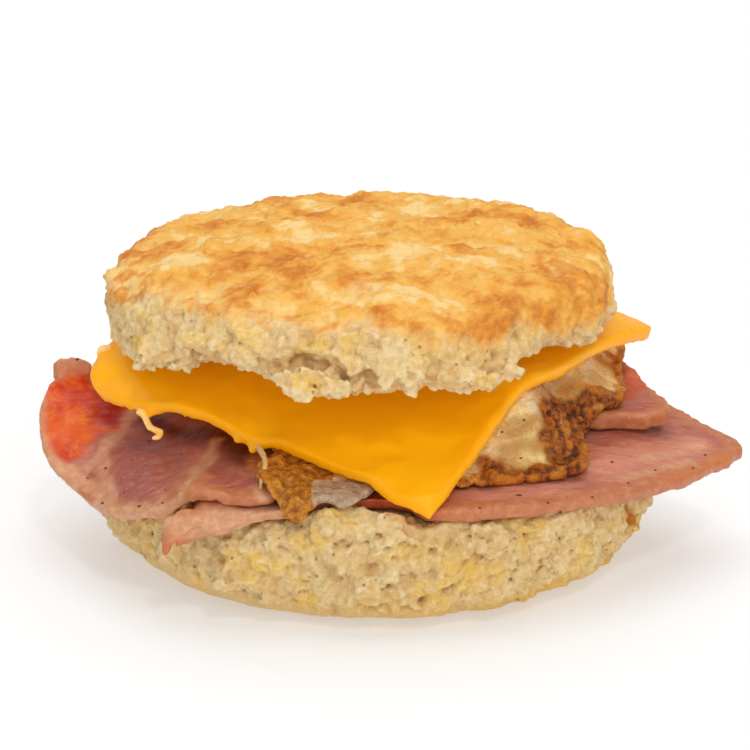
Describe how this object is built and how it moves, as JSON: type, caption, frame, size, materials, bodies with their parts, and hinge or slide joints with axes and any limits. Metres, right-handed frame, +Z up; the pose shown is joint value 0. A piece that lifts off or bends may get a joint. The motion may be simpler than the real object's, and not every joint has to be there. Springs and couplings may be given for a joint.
{
  "type": "breakfast sandwich",
  "caption": "Round breakfast sandwich: a split biscuit holding folded ham, a fried egg and a square cheese slice that hangs over the front.",
  "frame": {"origin": "centre of the flat underside of the bottom biscuit", "axes": "+Z up through the layers, -Y to the front, where the cheese corner hangs, +X to the right, where the lower ham slice reaches furthest"},
  "size_m": [0.1408, 0.1122, 0.0656],
  "materials": {
    "biscuit_crumb": "dry crumb, matt",
    "biscuit_crust": "baked crust, slight sheen",
    "ham": "moist, soft sheen",
    "fried_egg": "fried, oily on the browned rim",
    "cheese": "smooth, half gloss"
  },
  "bodies": {
    "root": {"biscuit_bottom": "biscuit_crumb", "ham_slice_lower": "ham", "ham_slice_left": "ham", "ham_slice_right": "ham", "fried_egg": "fried_egg", "cheese_slice": "cheese", "biscuit_top": "biscuit_crust"}
  },
  "joints": []
}
